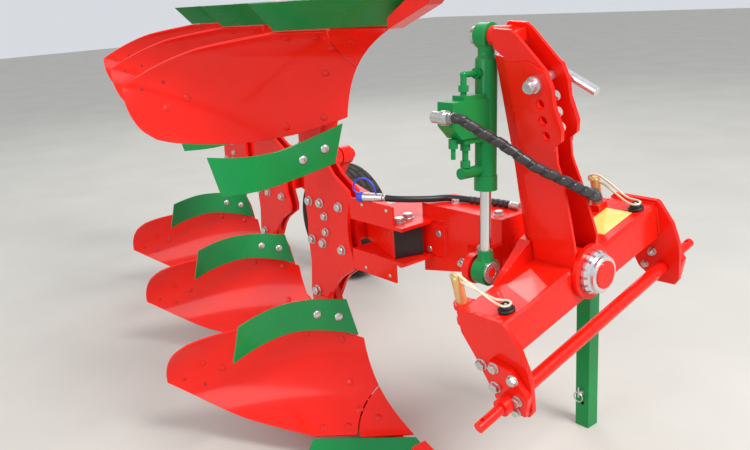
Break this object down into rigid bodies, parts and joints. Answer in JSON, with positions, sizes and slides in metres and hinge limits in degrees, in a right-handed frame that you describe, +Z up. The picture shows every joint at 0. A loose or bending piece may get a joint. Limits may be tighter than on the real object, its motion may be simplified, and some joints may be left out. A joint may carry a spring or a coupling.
{
  "type": "reversible moldboard plough",
  "caption": "Mounted reversible moldboard plough with mirrored bodies on a slanted square beam, a turnover headstock with its cylinder, a depth wheel and a parking stand.",
  "frame": {"origin": "middle of the bounding box's bottom, on the ground", "axes": "+X forward along the turning shaft, +Y left, +Z up"},
  "size_m": [2.9115, 1.5945, 1.484],
  "materials": {
    "red_paint": "gloss",
    "green_paint": "gloss",
    "zinc": "satin",
    "chrome": "polished",
    "black_plastic": "matte",
    "tyre": "matte"
  },
  "bodies": {
    "frame": {"turning_frame": "red_paint", "front_plate": "red_paint", "clamp_plates": "red_paint", "clamp_bolts": "zinc", "turning_shaft": "red_paint", "shaft_nut": "chrome", "main_beam": "red_paint", "beam_caps": "black_plastic", "leg_plates": "red_paint", "leg_blocks": "red_paint", "leg_bolts": "zinc", "frogs_lower": "red_paint", "frogs_upper": "red_paint", "moldboards_lower": "red_paint", "moldboards_upper": "red_paint", "shins_lower": "red_paint", "shins_upper": "red_paint", "shares_lower": "green_paint", "shares_upper": "green_paint", "points_lower": "red_paint", "points_upper": "red_paint", "landsides_lower": "red_paint", "landsides_upper": "red_paint", "trashboards_lower": "green_paint", "trashboards_upper": "green_paint", "trash_stays_lower": "red_paint", "trash_stays_upper": "red_paint", "cylinder_arm": "red_paint", "stand_sleeve": "red_paint", "wheel_bracket": "red_paint", "frame_hose": "black_plastic", "hose_couplers": "zinc"},
    "headstock": {"crossbeam": "red_paint", "hub": "red_paint", "cheek_plates": "red_paint", "link_brackets": "red_paint", "link_pins": "red_paint", "spreader_tube": "red_paint", "tower_plates": "red_paint", "tower_web": "red_paint", "tower_head": "red_paint", "cylinder_pin": "zinc", "top_link_pin": "zinc", "lock_lugs": "red_paint", "lock_pins": "zinc", "rubber_stops": "black_plastic", "guarded_hose": "black_plastic"},
    "cylinder_barrel": {"cylinder_barrel": "green_paint", "valve_block": "green_paint", "valve_fittings": "green_paint", "hose_elbow": "zinc"},
    "cylinder_rod": {"cylinder_rod": "chrome", "rod_eye": "green_paint", "rod_bush": "chrome"},
    "wheel_arm": {"wheel_arm": "red_paint"},
    "wheel": {"wheel_hub": "red_paint", "wheel_rim": "red_paint", "tyre": "tyre"},
    "stand": {"stand_leg": "green_paint", "stand_pin": "zinc"}
  },
  "joints": [
    {"name": "turn", "type": "hinge", "parent": "frame", "child": "headstock", "pos_m": [1.30475, -0.0925, 0.742], "axis": [1, 0, 0], "range_deg": [-13.4, 166.6]},
    {"name": "cylinder_swing", "type": "hinge", "parent": "headstock", "child": "cylinder_barrel", "pos_m": [1.18275, -0.24175, 1.36847], "axis": [1, 0, 0], "range_deg": [-3, 34]},
    {"name": "rod_slide", "type": "slide", "parent": "cylinder_barrel", "child": "cylinder_rod", "axis": [0, -0.0409, -0.9992], "range_m": [-0.17, 0.02]},
    {"name": "wheel_swing", "type": "hinge", "parent": "frame", "child": "wheel_arm", "pos_m": [-0.44525, 0.5075, 0.742], "axis": [0, 1, 0], "range_deg": [0, 110]},
    {"name": "wheel_spin", "type": "hinge", "parent": "wheel_arm", "child": "wheel", "pos_m": [-0.74525, 0.7075, 0.31], "axis": [0, 1, 0], "continuous": true},
    {"name": "stand_slide", "type": "slide", "parent": "frame", "child": "stand", "axis": [0, 0, 1], "range_m": [0, 0.3]}
  ],
  "couplings": [
    {"joint": "cylinder_swing", "follows": "turn", "ratio": 0.1986},
    {"joint": "rod_slide", "follows": "turn", "m_per_rad": -0.0562}
  ]
}
